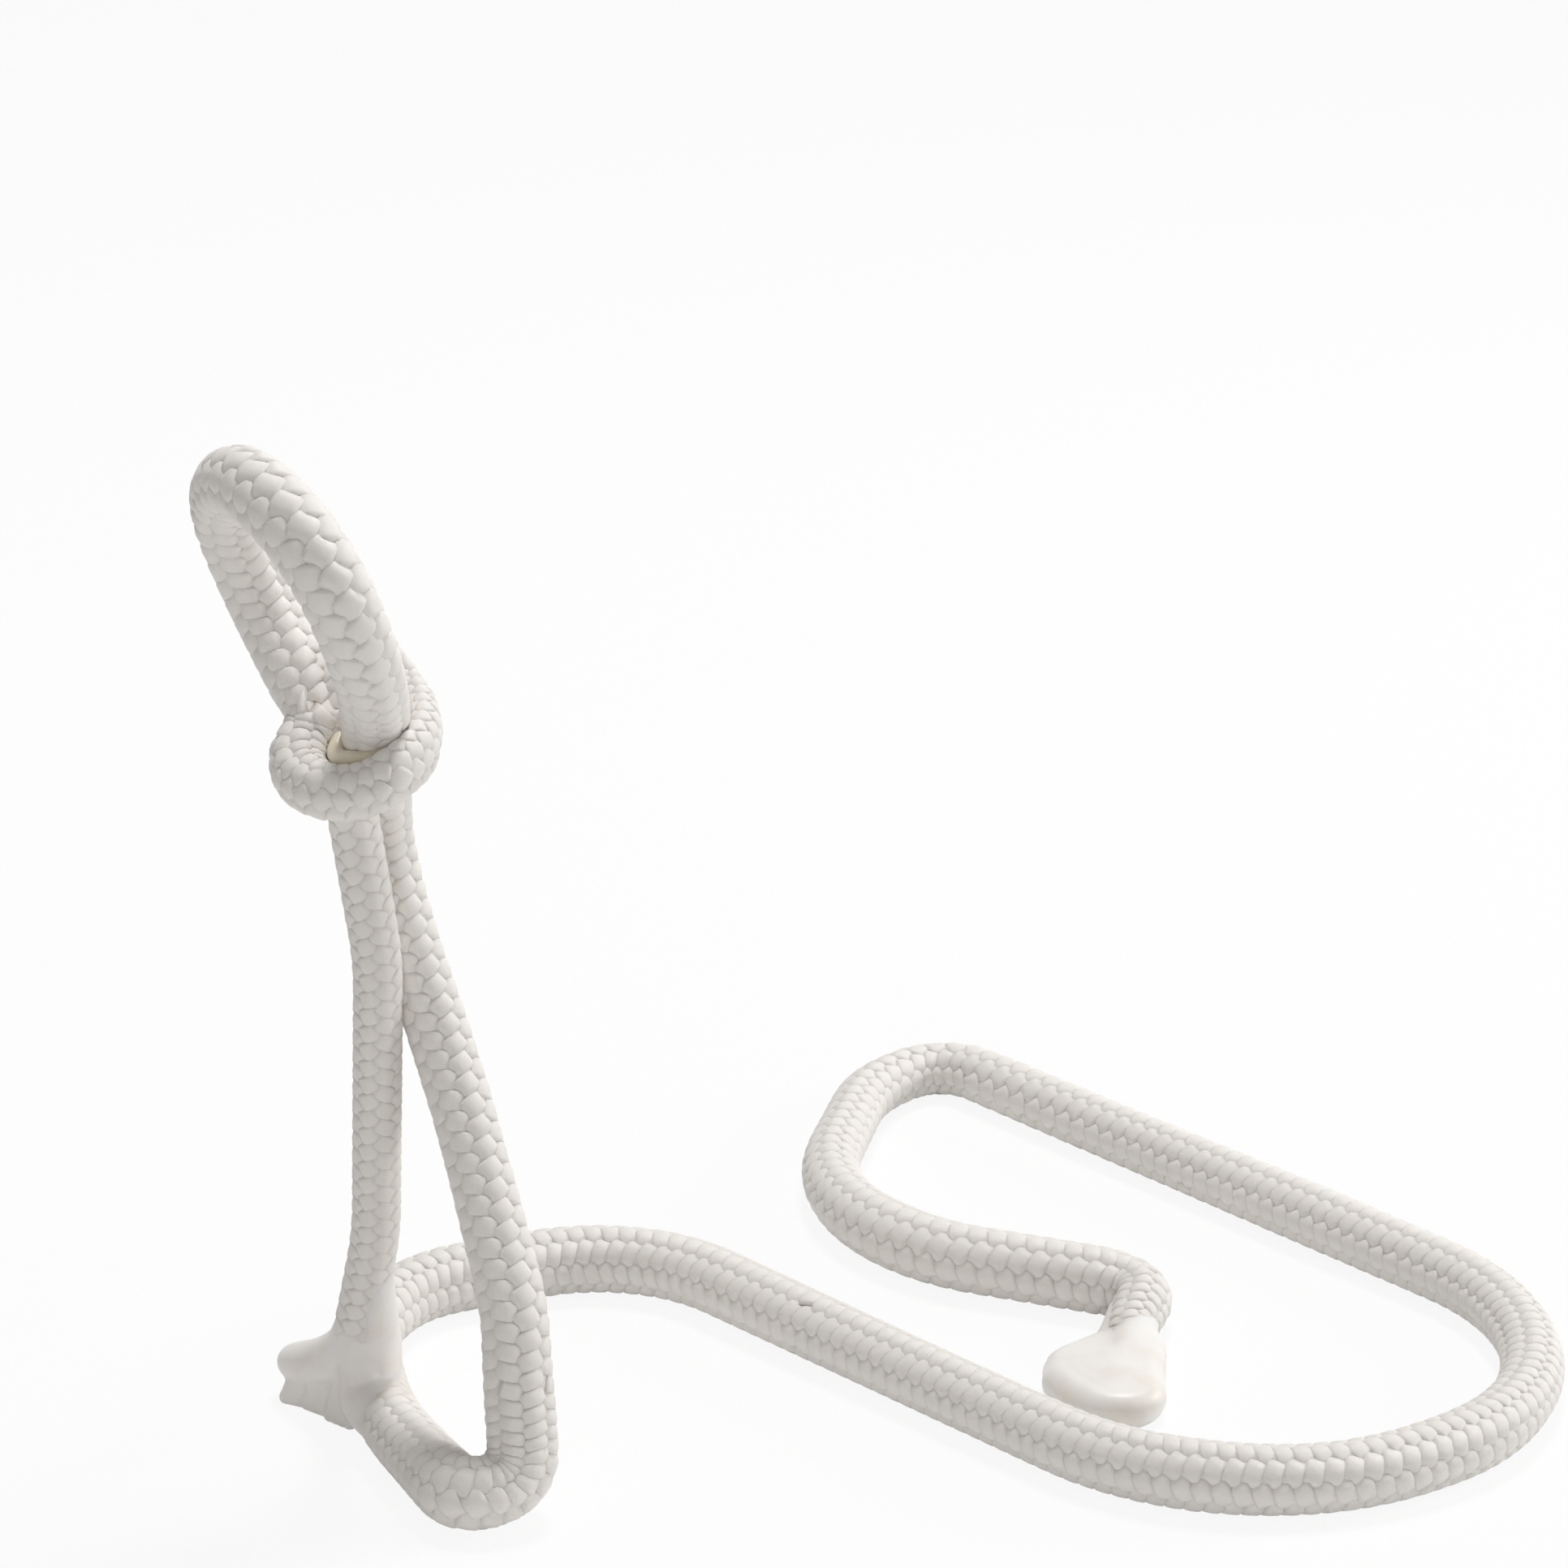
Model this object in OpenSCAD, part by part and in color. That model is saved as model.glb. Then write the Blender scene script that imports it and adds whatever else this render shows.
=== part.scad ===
// Free-standing bottle holder that looks like a lasso caught in the air. One steel rod is bent
// into a flat base, a riser and a noose. A braided nylon rope covers it from end to end. The
// rope's free end is knotted round the riser under the noose and hangs down as a limp tail.
// X runs from the noose along the bottle that lies in it, Y runs across it and Z runs up. The
// origin is on the floor, under the melted foot of the tail.

/* [Rope] */
// Diameter of the rope with the rod inside
rope_d = 12.5; // [11.5:0.1:13.5]
// Diameter of the rope where it is empty and limp, as on the tail
tail_d = 9.2; // [8:0.1:10.5]
// Diameter of the steel rod
rod_d = 6; // [5:0.5:7]
// Clearance all round between the rod and the rope
rod_play = 0.2; // [0.1:0.05:0.5]
// Depth of the flat that the rope's weight presses into it on the floor
rest_flat = 0.5; // [0.3:0.1:0.8]

/* [Base] */
// Length of the base, from the foot to the far bend
base_length = 212; // [200:1:230]
// Width of the base, across the bottle
base_width = 208; // [196:1:224]
// Bend radius of the rod at the foot, where it turns up
foot_bend = 7; // [7:0.5:9]
// Bend radius of the empty rope's end where it folds back
fold_bend = 5.5; // [5:0.5:8]

/* [Noose] */
// Height of the middle of the noose above the floor
noose_height = 170; // [160:1:185]
// Diameter of the bottle neck that the noose takes
neck_d = 27.5; // [26:0.5:31]
// Clearance between the neck and the noose
neck_play = 0.6; // [0.4:0.1:1.5]
// Distance of the middle of the noose behind the origin
noose_back = 4; // [3:0.5:6]
// Lean of the noose towards the bottle's mouth, in degrees
noose_lean = 20.5; // [16:0.5:25]
// Turn of the noose about the upright, in degrees
noose_turn = -4.5; // [-8:0.5:4]

/* [Knot] */
// Distance from the middle of the noose down to the middle of the knot
knot_drop = 33; // [32:0.5:36]
// Distance of the knot from the origin towards the bottle
knot_ahead = 5; // [4:0.5:6]
// Distance of the knot from the origin to the side of the foot
knot_aside = 5; // [4:0.5:6]

/* [Melted ends] */
// Thickness of the flattened tip
tip_thick = 8; // [7:0.5:10]
// Width of the flattened tip
tip_width = 23; // [20:0.5:25]

/* [Hidden] */
rope_colour = [0.93, 0.92, 0.90];
melt_colour = [0.90, 0.89, 0.86];
resin_colour = [0.93, 0.89, 0.76];
steel_colour = [0.55, 0.56, 0.58];
round_sides = 16;
bend_step = 15;
least_step_share = 0.001;
blob_fn = 16;

// Heights and radii that follow from the sizes above
rope_r = rope_d / 2;
axis_z = rope_r - rest_flat;
noose_r = neck_d / 2 + neck_play + rope_r;
knot_z = noose_height - knot_drop;

// Noose plane: one arm runs level across the bottle, the other climbs
noose_across = [-sin(noose_turn), cos(noose_turn), 0];
noose_up = [-sin(noose_lean) * cos(noose_turn), -sin(noose_lean) * sin(noose_turn), cos(noose_lean)];
function noose_point(across, up) =
    [-noose_back, 0, noose_height] + noose_r * (across * noose_across + up * noose_up);

// Knot frame: right and front are level, and front faces the side where the tail hangs
knot_angle = -37;
knot_right = [cos(knot_angle), sin(knot_angle), 0];
knot_front = [sin(knot_angle), -cos(knot_angle), 0];
function knot_point(share) =
    [knot_ahead, -knot_aside, knot_z]
    + rope_d * (share.x * knot_right + share.y * knot_front + [0, 0, share.z]);

// Base corners, as shares of its length and width, with each bend as a share of its length
base_shares = [
    [0.515, 0.005, 0.208],
    [0.764, 0.224, 0.124],
    [0.870, 0.221, 0.035],
    [0.989, -0.705, 0.226],
    [0.490, -0.667, 0.262],
    [0.380, 0.082, 0.168],
    [0.163, 0.135, 0.099],
    [0.081, 0.090, 0.091],
    [0.005, -0.052, 0.346]
];
tip_shares = [0.535, -0.421];
fold_shares = [0.714, -0.291];
foot_shares = [-0.0217, -0.2346];
heel_shares = [0.0370, -0.2480];
heel_rise_share = 1.35;
heel_bend_share = 1.07;

// Riser corners, as shares of the base's length and width and of the knot's height
shin_shares = [0.058, -0.203, 0.277];
waist_shares = [0.057, -0.075, 0.613];
shin_bend_share = 0.36;
waist_bend_share = 0.51;

// Places of the strands in the knot, as shares of the rope's diameter
below_shares = [0.27, -0.34, -1.32];
above_shares = [0.31, 0.29, 0.72];
back_end_shares = [-0.51, -0.35, 0.36];
below_bend_share = 1.6;
above_bend_share = 2.1;

// Low points of the noose's two sides and their bends, as shares of its radius
near_low_share = -0.58;
far_low_share = -0.53;
near_bend_share = 1.45;
far_bend_share = 1.07;

function base_point(share) = [share.x * base_length, share.y * base_width, axis_z];

// The rod's route: corners of its centre line, each with the radius of its bend
route = [
    [base_point(tip_shares), 0],
    [base_point(fold_shares), fold_bend],
    for (share = base_shares) [base_point(share), share.z * base_length],
    [base_point(foot_shares), foot_bend],
    [[heel_shares.x * base_length, heel_shares.y * base_width, heel_rise_share * axis_z],
        heel_bend_share * foot_bend],
    [[shin_shares.x * base_length, shin_shares.y * base_width, shin_shares.z * knot_z],
        shin_bend_share * knot_z],
    [[waist_shares.x * base_length, waist_shares.y * base_width, waist_shares.z * knot_z],
        waist_bend_share * knot_z],
    [knot_point(below_shares), below_bend_share * rope_d],
    [knot_point(above_shares), above_bend_share * rope_d],
    [noose_point(-1, near_low_share), near_bend_share * noose_r],
    [noose_point(-1, 1), noose_r],
    [noose_point(1, 1), noose_r],
    [noose_point(1, far_low_share), far_bend_share * noose_r],
    [knot_point(back_end_shares), 0]
];
// Legs of the route where one named stretch of rope meets the next, and how far along each
fold_leg = 1;
far_leg = 4;
bow_leg = 6;
heel_leg = 12;
knot_leg = 15;
above_leg = 16;
last_leg = 20;
far_cut_share = 0.5;
bow_cut_share = 0.7;
heel_cut_share = 0.5;
knot_cut_share = 0.4;
fold_cut_share = 0.03;
rod_start_share = 0.1;

// Tail: corners from the knot down to its melted foot
tail_top_shares = [-0.06, 0.65, -0.40];
tail_high_shares = [0.0099, -0.065, 0.73];
tail_low_shares = [0.0094, -0.048, 0.32];
tail_end_shares = [0.0047, -0.0264, 0.16];
tail_bend_share = 0.5;
function tail_point(share) = [share.x * base_length, share.y * base_width, share.z * knot_z];
tail_route = [
    [knot_point(tail_top_shares), 0],
    [tail_point(tail_high_shares), tail_bend_share * knot_z],
    [tail_point(tail_low_shares), tail_bend_share * knot_z],
    [tail_point(tail_end_shares), 0]
];

// Knot: the limp rope's way round the riser, as shares of the rope's diameter, with the half
// thickness and half height of its squeezed section as shares of the limp rope's diameter
wrap_shares = [
    [-0.51, -0.35, 0.36, 0.66, 0.66],
    [-0.68, -0.18, 0.18, 0.60, 0.62],
    [-0.86, 0.10, -0.01, 0.54, 0.60],
    [-0.80, 0.50, -0.18, 0.52, 0.60],
    [-0.44, 0.88, -0.22, 0.52, 0.58],
    [-0.03, 1.03, -0.20, 0.52, 0.57],
    [0.34, 1.01, -0.10, 0.50, 0.56],
    [0.64, 0.88, 0.05, 0.45, 0.56],
    [0.92, 0.50, 0.20, 0.37, 0.58],
    [0.98, 0.00, 0.34, 0.37, 0.58],
    [0.80, -0.50, 0.46, 0.42, 0.56],
    [0.54, -0.86, 0.62, 0.46, 0.52],
    [0.22, -1.02, 0.76, 0.46, 0.48],
    [-0.10, -1.06, 0.82, 0.44, 0.46]
];
wrap_steps = 3;
// Drops of resin in the eye of the knot, as shares of the rope's diameter
resin_shares = [
    [-0.52, 0.20, 0.44], [-0.36, 0.62, 0.20], [0.10, 0.86, 0.20], [0.52, 0.76, 0.34],
    [0.72, 0.36, 0.48], [0.24, 0.56, 0.56], [-0.16, 0.44, 0.70],
    [-0.20, 0.30, -0.30], [0.60, 0.40, -0.20]
];
resin_drop_share = 0.12;

// Flattened tip: along its leg, how far it has spread and how full its section is
fold_height_share = 1.25;
tip_profile_shares = [
    [0, 1, 0.50], [0.02, 1, 0.74], [0.07, 1, 0.91], [0.14, 1, 1], [0.30, 1, 1],
    [0.45, 0.8, 1], [0.60, 0.45, 1], [0.78, 0.12, 1]
];

// Melted nose of the tail: places as shares of the rope's diameter, each with its half size as a
// share of the limp rope's diameter
nose_shares = [
    [0.07, -0.12, 1.38, 0.54],
    [0.04, 0.20, 1.10, 0.56],
    [-0.01, 0.56, 0.84, 0.56],
    [-0.06, 0.84, 0.66, 0.52],
    [-0.11, 1.09, 0.58, 0.45],
    [-0.17, 1.26, 0.55, 0.34],
    [-0.20, 1.34, 0.54, 0.18]
];
nose_seam_share = 0.12;
// Lobes of the melted skirt, as shares of the rope's diameter: the tip of each on the floor, and
// the root where it leaves the nose
lobe_shares = [
    [-0.42, 1.07, -0.11, 1.00, 0.46],
    [-0.32, 0.80, -0.06, 0.78, 0.54],
    [-0.21, 0.51, -0.02, 0.50, 0.64],
    [-0.14, 0.20, 0.02, 0.20, 0.76],
    [-0.12, -0.12, 0.05, -0.08, 0.86]
];
lobe_tip_share = 0.14;
lobe_rise_share = 0.16;
lobe_root_share = 0.22;

// Vector helpers
function unit(v) = v / norm(v);
function mix(a, b, share) = a + (b - a) * share;
function square_to(v, along) = unit(v - (v * along) * along);

// A corner's turn, the length that its bend takes off each leg, and where its bend starts and ends
function back_dir(way, i) = unit(way[i - 1][0] - way[i][0]);
function ahead_dir(way, i) = unit(way[i + 1][0] - way[i][0]);
function is_end(way, i) = i == 0 || i == len(way) - 1;
function turn(way, i) = 180 - acos(back_dir(way, i) * ahead_dir(way, i));
function trim(way, i) = way[i][1] * tan(turn(way, i) / 2);
function bend_start(way, i) =
    is_end(way, i) ? way[i][0] : way[i][0] + trim(way, i) * back_dir(way, i);
function bend_end(way, i) =
    is_end(way, i) ? way[i][0] : way[i][0] + trim(way, i) * ahead_dir(way, i);
function bend_middle(way, i) =
    way[i][0] + way[i][1] / cos(turn(way, i) / 2) * unit(back_dir(way, i) + ahead_dir(way, i));

// Points of the bend at a corner, at even steps of its turn
function bend_points(way, i) =
    let (
        middle = bend_middle(way, i),
        start = bend_start(way, i) - middle,
        side = norm(start) * -back_dir(way, i),
        steps = max(2, ceil(turn(way, i) / bend_step))
    )
    [
        for (k = [0:steps])
            let (angle = k * turn(way, i) / steps)
            middle + cos(angle) * start + sin(angle) * side
    ];

// Points of a route from a share of one leg to a share of another, each once where bends meet
function way_point(way, leg, share) = mix(bend_end(way, leg), bend_start(way, leg + 1), share);
function way_points(way, first, first_share, last, last_share) =
    let (
        points = [
            way_point(way, first, first_share),
            for (i = [first + 1:1:last]) each bend_points(way, i),
            way_point(way, last, last_share)
        ]
    )
    [
        for (i = [0:len(points) - 1])
            if (i == 0 || norm(points[i] - points[i - 1]) > least_step_share * rope_d) points[i]
    ];

// Direction of a path at each of its points, and a side vector that turns with it and never spins
function path_dir(path, i) =
    i == 0 ? unit(path[1] - path[0])
    : i == len(path) - 1 ? unit(path[i] - path[i - 1])
    : unit(unit(path[i] - path[i - 1]) + unit(path[i + 1] - path[i]));
function path_sides(path) = [
    for (
        i = 0, side = square_to(abs(path_dir(path, 0).z) > 0.8 ? [1, 0, 0] : [0, 0, 1], path_dir(path, 0));
        i < len(path);
        i = i + 1,
        side = i < len(path) ? square_to(side, path_dir(path, i)) : side
    )
    side
];

// One ring of points round a path, with its half sizes along its side vector and across it
function ring(at, along, side, half_side, half_across) = [
    for (k = [0:round_sides - 1])
        at + half_side * cos((k + 0.5) * 360 / round_sides) * side
        + half_across * sin((k + 0.5) * 360 / round_sides) * cross(along, side)
];
function rings(path, sides, half) = [
    for (i = [0:len(path) - 1]) each ring(path[i], path_dir(path, i), sides[i], half, half)
];
function on_floor(points) = [for (p = points) [p.x, p.y, max(p.z, 0)]];

// Triangles of a wall between rings of points, and of the flat ends
function wall(rings, first, facing) = [
    for (i = [0:rings - 2], k = [0:round_sides - 1])
        let (
            a = first + i * round_sides + k,
            b = first + i * round_sides + (k + 1) % round_sides,
            c = b + round_sides,
            d = a + round_sides
        )
        each facing > 0 ? [[a, b, c], [a, c, d]] : [[a, c, b], [a, d, c]]
];
function cap(first, facing) = [
    for (k = [1:round_sides - 2])
        facing > 0 ? [first, first + k, first + k + 1] : [first, first + k + 1, first + k]
];
function collar(outer, inner, facing) = [
    for (k = [0:round_sides - 1])
        let (n = (k + 1) % round_sides)
        each facing > 0
            ? [[outer + k, inner + k, inner + n], [outer + k, inner + n, outer + n]]
            : [[outer + k, inner + n, inner + k], [outer + k, outer + n, inner + n]]
];

// A solid form swept along a path, with side vectors and half sizes at each point
module form(path, sides, halves) {
    points = [
        for (i = [0:len(path) - 1])
            each ring(path[i], path_dir(path, i), sides[i], halves[i].x, halves[i].y)
    ];
    polyhedron(
        on_floor(points),
        concat(wall(len(path), 0, -1), cap(0, 1), cap((len(path) - 1) * round_sides, -1))
    );
}

// A solid round bar swept along a path
module bar(path, d) {
    form(path, path_sides(path), [for (p = path) [d / 2, d / 2]]);
}

// A hollow sleeve swept along a path
module sleeve(path, d, bore_d) {
    sides = path_sides(path);
    count = len(path);
    outer = rings(path, sides, d / 2);
    inner = rings(path, sides, bore_d / 2);
    bore = count * round_sides;
    end = (count - 1) * round_sides;
    polyhedron(
        on_floor(concat(outer, inner)),
        concat(wall(count, 0, -1), wall(count, bore, 1), collar(0, bore, -1), collar(end, bore + end, 1))
    );
}

// A stretch of the braided rope over the rod
module rope(first, first_share, last, last_share) {
    color(rope_colour)
        sleeve(
            way_points(route, first, first_share, last, last_share),
            rope_d,
            rod_d + 2 * rod_play
        );
}

module core_rod() {
    color(steel_colour)
        bar(way_points(route, fold_leg, rod_start_share, last_leg, 1), rod_d);
}

module rope_far() {
    rope(fold_leg, fold_cut_share, far_leg, far_cut_share);
}

module rope_bow() {
    rope(far_leg, far_cut_share, bow_leg, bow_cut_share);
}

module rope_foot() {
    rope(bow_leg, bow_cut_share, heel_leg, heel_cut_share);
}

module rope_riser() {
    rope(heel_leg, heel_cut_share, knot_leg, knot_cut_share);
}

module rope_noose() {
    rope(knot_leg, knot_cut_share, last_leg, 1);
}

// The rod's rope where it passes the knot, for cutting the pieces that lie against it. Its
// facets stand just outside the rope's own, whichever way either is turned
cutting_d = rope_d / cos(180 / round_sides);
module strands() {
    bar(way_points(route, heel_leg, 0, above_leg, 1), cutting_d);
    bar(way_points(route, last_leg - 1, 0, last_leg, 1), cutting_d);
}

module rope_tail() {
    color(rope_colour)
        difference() {
            bar(way_points(tail_route, 0, 0, 2, 1), tail_d);
            wrap_form();
            strands();
        }
}

// A smooth path through stations of any length, with so many steps between two of them
function smooth(stations, i, t) =
    let (
        a = stations[max(i - 1, 0)],
        b = stations[i],
        c = stations[i + 1],
        d = stations[min(i + 2, len(stations) - 1)]
    )
    b + t / 2 * (c - a) + pow(t, 2) / 2 * (2 * a - 5 * b + 4 * c - d)
    + pow(t, 3) / 2 * (3 * b - a - 3 * c + d);
function smooth_all(stations, steps) = [
    for (i = [0:len(stations) - 2], k = [0:steps - 1]) smooth(stations, i, k / steps),
    stations[len(stations) - 1]
];

// The limp rope of the knot, squeezed where it goes round the riser
module wrap_form() {
    stations = smooth_all(wrap_shares, wrap_steps);
    path = [for (s = stations) knot_point(s)];
    low = knot_point(below_shares);
    high = knot_point(above_shares);
    sides = [
        for (i = [0:len(path) - 1])
            let (middle = mix(low, high, (path[i].z - low.z) / (high.z - low.z)))
            square_to(path[i] - middle, path_dir(path, i))
    ];
    form(path, sides, [for (s = stations) tail_d * [s[3], s[4]]]);
}

module knot_wrap() {
    color(rope_colour)
        difference() {
            wrap_form();
            strands();
        }
}

module knot_resin() {
    color(resin_colour)
        difference() {
            hull()
                for (share = resin_shares)
                    translate(knot_point(share))
                        sphere(d = resin_drop_share * rope_d, $fn = blob_fn);
            strands();
            wrap_form();
            bar(way_points(tail_route, 0, 0, 0, 1), tail_d);
        }
}

module tip_end() {
    start = way_point(route, 0, 0);
    end = way_point(route, 0, 1);
    spread_path = [
        for (s = tip_profile_shares)
            let (place = mix(start, end, s.x))
            [place.x, place.y, mix(rope_r, tip_thick / 2, s.y) - rest_flat]
    ];
    path = concat(
        spread_path,
        bend_points(route, fold_leg),
        [way_point(route, fold_leg, fold_cut_share)]
    );
    spread_halves = [
        for (s = tip_profile_shares)
            s.z * [
                mix(fold_height_share * tail_d, tip_thick, s.y) / 2,
                mix(tail_d, tip_width, s.y) / 2
            ]
    ];
    fold_halves = [for (p = bend_points(route, fold_leg)) tail_d / 2 * [fold_height_share, 1]];
    halves = concat(spread_halves, fold_halves, [[rope_r, rope_r]]);
    color(melt_colour)
        form(path, path_sides(path), halves);
}

// Root of one lobe of the skirt, from the nose down to the floor
module lobe_root(s) {
    translate(rope_d * [s[2], s[3], 0])
        cylinder(r = lobe_root_share * rope_d, h = lobe_rise_share * rope_d, $fn = blob_fn);
    translate(rope_d * [s[2], s[3], s[4]])
        sphere(r = lobe_root_share * rope_d, $fn = blob_fn);
}

// Tip of one lobe, where it spreads on the floor
module lobe_tip(s) {
    translate(rope_d * [s[0], s[1], 0])
        cylinder(r = lobe_tip_share * rope_d, h = lobe_rise_share * rope_d, $fn = blob_fn);
}

module tail_foot() {
    tail_end = tail_route[len(tail_route) - 1][0];
    tail_dir = unit(tail_end - tail_route[len(tail_route) - 2][0]);
    path = concat(
        [tail_end, tail_end + nose_seam_share * tail_d * tail_dir],
        [for (s = nose_shares) rope_d * [s.x, s.y, s.z]]
    );
    halves = concat([[0.5, 0.5], [0.5, 0.5]], [for (s = nose_shares) [s[3], s[3]]]);
    color(melt_colour)
        difference() {
            union() {
                form(path, path_sides(path), tail_d * halves);
                for (i = [1:len(lobe_shares) - 1])
                    hull() {
                        lobe_root(lobe_shares[i - 1]);
                        lobe_root(lobe_shares[i]);
                    }
                for (s = lobe_shares)
                    hull() {
                        lobe_root(s);
                        lobe_tip(s);
                    }
            }
            bar(way_points(route, bow_leg, 0, heel_leg, 1), cutting_d);
        }
}

core_rod();
rope_far();
rope_bow();
rope_foot();
rope_riser();
rope_noose();
rope_tail();
tip_end();
tail_foot();
knot_wrap();
knot_resin();
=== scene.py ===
# %% [markdown]
# # A holder of braided rope
# The real object is one bent steel rod inside one braided nylon rope. The rope lies in loops on
# the table, climbs, is knotted and ends in a noose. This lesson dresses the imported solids: a real
# braid of eight strands is laid along the rod's route, and the melted ends are shaped as lumps.
# The first cell loads the solids, which give every piece its place.

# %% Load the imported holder
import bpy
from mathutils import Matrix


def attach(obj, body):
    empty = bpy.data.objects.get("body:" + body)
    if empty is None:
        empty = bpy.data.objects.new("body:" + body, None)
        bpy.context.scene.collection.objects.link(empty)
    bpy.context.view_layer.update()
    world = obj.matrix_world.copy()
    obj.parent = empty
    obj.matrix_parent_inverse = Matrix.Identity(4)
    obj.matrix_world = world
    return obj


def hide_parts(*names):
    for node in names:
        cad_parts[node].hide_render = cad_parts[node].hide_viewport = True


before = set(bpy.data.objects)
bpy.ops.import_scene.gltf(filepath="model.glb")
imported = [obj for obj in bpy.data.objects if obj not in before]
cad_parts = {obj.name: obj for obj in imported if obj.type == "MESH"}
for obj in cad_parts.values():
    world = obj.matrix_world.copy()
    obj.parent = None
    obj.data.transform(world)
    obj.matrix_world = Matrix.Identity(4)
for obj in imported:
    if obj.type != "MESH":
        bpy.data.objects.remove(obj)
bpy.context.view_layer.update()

import math

import bpy
import numpy as np
from mathutils import Vector

MM = 0.001
scene = bpy.context.scene
print("nodes:", sorted(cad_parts))

# %% [markdown]
# ## The camera
# A long lens from above and to the left, as in a product photograph. It is set first, because
# every later choice is judged through it.

# %% Camera
CAMERA_PLACE = (-0.4523, -0.7415, 0.4798)
CAMERA_TURN = (math.radians(68), 0, math.radians(-36.94))
bpy.ops.object.select_all(action="DESELECT")
bpy.ops.object.camera_add(location=CAMERA_PLACE, rotation=CAMERA_TURN)
camera = bpy.context.object
camera.name = "camera"
camera.data.sensor_width = 36
camera.data.lens = 118.25
camera.data.clip_end = 20
scene.camera = camera
print("lens:", camera.data.lens, "mm")

# %% [markdown]
# ## The route of the rod
# A rod is bent at a few corners and stays straight between them. So the route is a list of
# corners, each with the radius of its bend, in millimetres. The noose and the knot have frames of
# their own, so their corners are given in noose radii and in rope widths. Typing every point of
# the curve would be slower, and nobody could change it later.

# %% Corners of the route
ROPE_R = 6.25
FLAT = 0.5
AXIS_Z = ROPE_R - FLAT
NOOSE_R = 20.6
NOOSE_MIDDLE = np.array([-4.0, 0.0, 170.0])
lean, turn_z = math.radians(20.5), math.radians(-4.5)
ACROSS = np.array([-math.sin(turn_z), math.cos(turn_z), 0])
UP = np.array([
    -math.sin(lean) * math.cos(turn_z),
    -math.sin(lean) * math.sin(turn_z),
    math.cos(lean),
])
KNOT = np.array([5.0, -5.0, 137.0])
knot_angle = math.radians(-37)
RIGHT = np.array([math.cos(knot_angle), math.sin(knot_angle), 0])
FRONT = np.array([math.sin(knot_angle), -math.cos(knot_angle), 0])


def noose_point(across, up):
    return NOOSE_MIDDLE + NOOSE_R * (across * ACROSS + up * UP)


def knot_point(right, front, up):
    return KNOT + 2 * ROPE_R * (right * RIGHT + front * FRONT + np.array([0, 0, up]))


RISER_LOW = knot_point(0.27, -0.34, -1.32)
RISER_HIGH = knot_point(0.31, 0.29, 0.72)
ROUTE = [
    # Folded end, hairpin and far run
    ((113.4, -87.6, AXIS_Z), 0),
    ((149.9, -60.6, AXIS_Z), 5.5),
    ((108.9, 1.7, AXIS_Z), 44.8),
    ((161.8, 46.2, AXIS_Z), 30.6),
    ((184.8, 49.5, AXIS_Z), 11),
    # Front bow
    ((208.9, -146.9, AXIS_Z), 47.5),
    ((103.8, -138.8, AXIS_Z), 54.5),
    # Near run and the loop under the knot
    ((80.3, 15.0, AXIS_Z), 34.6),
    ((33.3, 27.8, AXIS_Z), 22.9),
    ((15.3, 16.8, AXIS_Z), 8.8),
    ((1.6, -11.8, AXIS_Z), 96.1),
    ((-4.8, -48.7, AXIS_Z), 6),
    # Heel and riser
    ((7.2, -51.5, 7.3), 7.3),
    ((11.8, -41.8, 37.9), 49.3),
    ((13.1, -16.4, 84.0), 69.9),
    (RISER_LOW, 20),
    (RISER_HIGH, 26.2),
    # Noose
    (noose_point(-1, -0.58), 29.9),
    (noose_point(-1, 1), NOOSE_R),
    (noose_point(1, 1), NOOSE_R),
    (noose_point(1, -0.53), 22),
    (knot_point(-0.51, -0.35, 0.36), 0),
]
print("corners of the route:", len(ROUTE))

# %% [markdown]
# ## Round corners
# One function walks along the corners, rounds each into an arc and puts down a point every half
# millimetre. It also keeps where along the rope each straight leg begins and ends, because the
# rope's stretches are cut there.

# %% Round the corners
POINT_STEP = 0.5


def unit(v):
    return v / np.maximum(np.linalg.norm(v, axis=-1, keepdims=True), 1e-12)


def rounded(corners):
    """Points along the legs and bends, and where each leg starts and ends along them."""
    places = [np.array(c[0], float) for c in corners]
    points, legs, leg_start = [places[0]], [], 0.0

    def run_to(end):
        start = points[-1]
        count = max(1, round(np.linalg.norm(end - start) / POINT_STEP))
        points.extend(start + (end - start) * k / count for k in range(1, count + 1))

    def length():
        return float(np.linalg.norm(np.diff(points, axis=0), axis=1).sum())

    for i in range(1, len(places) - 1):
        back, ahead = unit(places[i - 1] - places[i]), unit(places[i + 1] - places[i])
        angle = math.pi - math.acos(float(back @ ahead))
        radius = corners[i][1]
        trim = radius * math.tan(angle / 2)
        start = places[i] + trim * back
        middle = places[i] + radius / math.cos(angle / 2) * unit(back + ahead)
        if np.linalg.norm(start - points[-1]) > 0.01:
            run_to(start)
        legs.append((leg_start, length()))
        count = max(2, round(radius * angle / POINT_STEP))
        for k in range(1, count + 1):
            a = k * angle / count
            points.append(middle + math.cos(a) * (start - middle) - math.sin(a) * radius * back)
        leg_start = length()
    run_to(places[-1])
    legs.append((leg_start, length()))
    return np.array(points), legs


# %% [markdown]
# ## From points to a way
# A way holds the points, the direction at each and two side vectors. The side vectors are carried
# along from point to point and never spin, so the braid's columns stay straight, as on a rope that
# was bent but not twisted. A way also counts the stitches, so that the braid runs on unbroken.

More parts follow.
